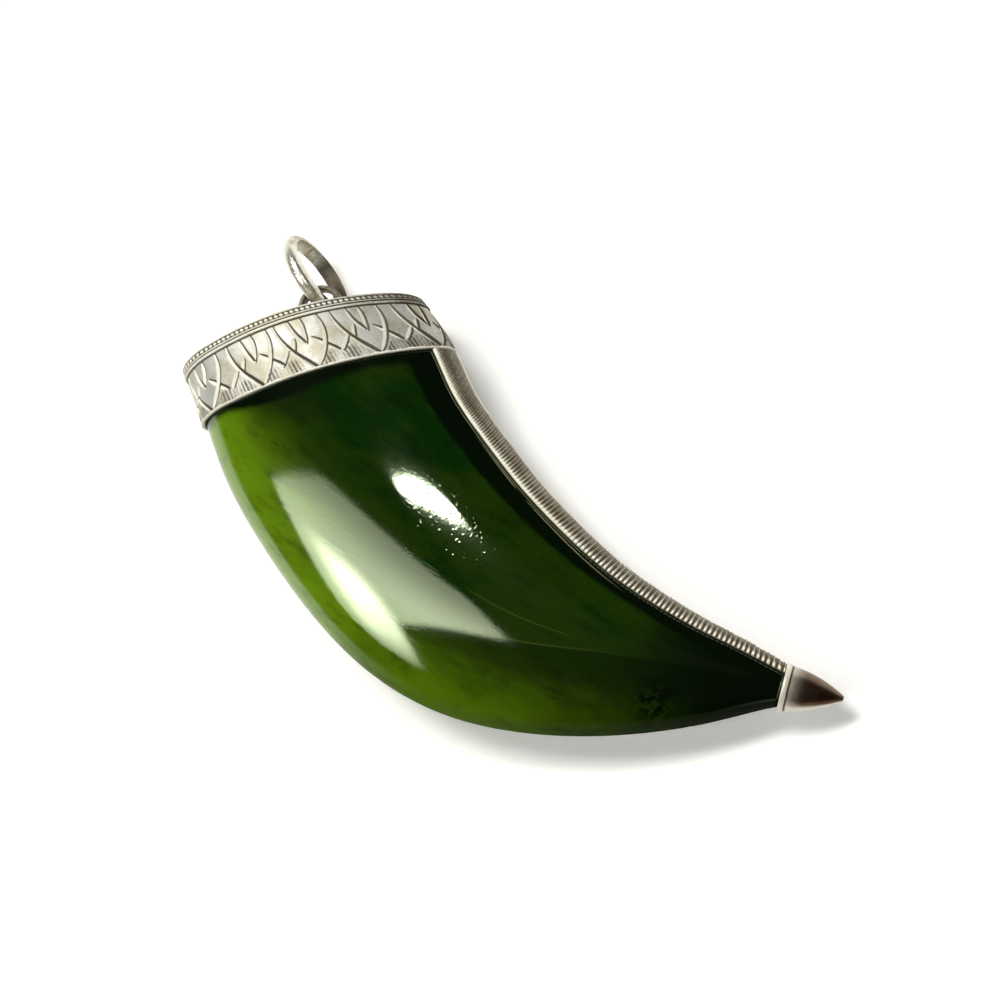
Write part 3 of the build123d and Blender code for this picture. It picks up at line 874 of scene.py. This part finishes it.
# The ferrule
# A plain cone of silver sheet over the point of the claw, with a raised lip round its mouth. It has gone
# brown towards its point; a painted highlight lies on the lip and fades past it, and a painted reflection of
# the table lies along its full side.
ferrule_wall = 0.26
lip_height = 0.42
ferrule_columns, cone_rows = 96, 40
FERRULE_ROWS = ((0.0, 1.0), (0.30, 0.87), (0.62, 0.61), (0.88, 0.28), (1.0, 0.09))
mouth = section_at(np.array(mouth_station))
mouth_point, tip_point = np.array((mouth[0], mouth[1], 0)), np.array((reach, 0, 0))
ferrule_size = smooth_through(*np.array(FERRULE_ROWS).T)
ferrule_length = float(np.linalg.norm(tip_point - mouth_point))
mouth_across = np.array((cos(mouth[2]), sin(mouth[2]), 0))
ferrule_facings, _ = even_facings(ferrule_columns, mouth[3], mouth[4], fit_gap + ferrule_wall)


def ferrule_ring(share, out):
    """One ring of the ferrule, at a share of its length, standing out from the stone."""
    size = float(ferrule_size(np.array(share)))
    x, y = oval_point(mouth[3] * size, mouth[4] * size, ferrule_facings, out * size)
    middle = mouth_point + (tip_point - mouth_point) * share
    return middle + np.outer(x, mouth_across) + np.outer(y, (0, 0, 1))


ferrule_out = fit_gap + ferrule_wall
LIP_ROWS = ((0.0, 0.02), (0.03, 0.07), (0.10, 0.115), (0.21, 0.12), (0.32, 0.115), (0.39, 0.07),
            (lip_height, 0.0))    # from the mouth, out from the cone
ferrule_rings = [ferrule_ring(along / ferrule_length, ferrule_out + step) for along, step in LIP_ROWS]
ferrule_rings += [ferrule_ring(share, ferrule_out)
                  for share in np.linspace(lip_height / ferrule_length + 0.02, 0.99, cone_rows)]
tip_ring = ferrule_ring(0.998, ferrule_out) * 0.6 + tip_point * 0.4
cavity = [surface(np.full(ferrule_columns, mouth_station + deep), ferrule_facings, fit_gap)
          for deep in (stone_end - mouth_station, 0.9, 0.05)]
ferrule_rings = np.array(cavity + ferrule_rings + [tip_ring])
ferrule_points = np.concatenate([ferrule_rings.reshape(-1, 3), [ferrule_rings[0].mean(0), tip_point]])
mouth_row, lip_end = len(cavity), len(cavity) + len(LIP_ROWS)
# Painted light: a painted reflection of the table along the full side, a painted highlight on the lip fading
# past it, and painted shade just past the lip.
most_shine, lip_shine, past_lip_shine, lip_shadow = 0.85, 0.8, 0.55, 0.9
ferrule_dark = np.zeros(ferrule_rings.shape[:2])
ferrule_dark[lip_end - 1:lip_end + 1] = lip_shadow
ferrule_shine = np.zeros_like(ferrule_dark)
ferrule_shine[mouth_row:] = most_shine * step_up(-np.cos(ferrule_facings), 0.74, 0.93)
ferrule_shine[lip_end:-1] += past_lip_shine * np.linspace(1, -2.2, cone_rows).clip(0, 1)[:, None] ** 1.5
ferrule_shine = ferrule_shine.clip(0, most_shine)
ferrule_shine[mouth_row:lip_end - 1] = lip_shine
dull_silver = worn_silver_with_painted_light("dull_silver", plain=(0.17, 0.12, 0.08), warm=(0.085, 0.036, 0.022),
                          rough=0.24, tarnish_and_shade=0.9, metal=0.9)
make_piece("tip_ferrule_cone", lay(ferrule_points), tube_faces(len(ferrule_rings), ferrule_columns),
           dull_silver, "pendant", "tip_ferrule", "polished_silver", cut=ferrule_dark, shine=ferrule_shine)


# The ring
# A loose band of silver wire, flat inside and round outside, closed and soldered. It hangs in the eye and
# leans on the table.
ring_bore = 6.5
ring_thick = 0.7
ring_width = 1.2
inner_swell = 0.05           # how far the flat inside of the wire bulges
wire_corner = 0.75           # how square the wire is across its width: 1 would be an oval
ring_steps, ring_points = 200, 30
ring_normal = Vector(frame["joints"][0]["axis"]).normalized()
chain_loop = next(mount for mount in frame["record"]["mounts"] if mount["name"] == "chain_loop")
ring_centre = Vector(chain_loop["pos_m"])
ring_side = ring_normal.orthogonal().normalized()
ring_other = ring_normal.cross(ring_side)
turn = np.linspace(0, 2 * pi, ring_points, endpoint=False)
wire_out = np.where(np.cos(turn) > 0, ring_thick * np.cos(turn), inner_swell * np.cos(turn))
wire_wide = ring_width / 2 * np.sign(np.sin(turn)) * np.abs(np.sin(turn)) ** wire_corner
ring_directions = [ring_side * cos(angle) + ring_other * sin(angle)
                   for angle in np.linspace(0, 2 * pi, ring_steps, endpoint=False)]
ring_rings = np.array([np.array(ring_centre) + (np.outer(ring_bore / 2 + wire_out, direction)
                                                + np.outer(wire_wide, ring_normal)) * millimetre
                       for direction in ring_directions])
to_top = np.array([direction.dot(up_side.normalized()) for direction in ring_directions])
# Painted shade on the inner side of the wire, less at its far end.
ring_inner_shade = np.outer(1 - 0.9 * step_up(to_top, 0.45, 0.85), 0.85 * step_up(-np.cos(turn), -0.15, 0.15))
ring_shine = np.outer(0.55 * step_up(np.abs(to_top), 0.80, 0.97), np.ones(ring_points))    # painted highlights at the near and far ends
make_piece("jump_ring_band", ring_rings, tube_faces(ring_steps, ring_points, "joined"), polished_silver,
           "ring", "jump_ring", "polished_silver", cut=ring_inner_shade, shine=ring_shine)
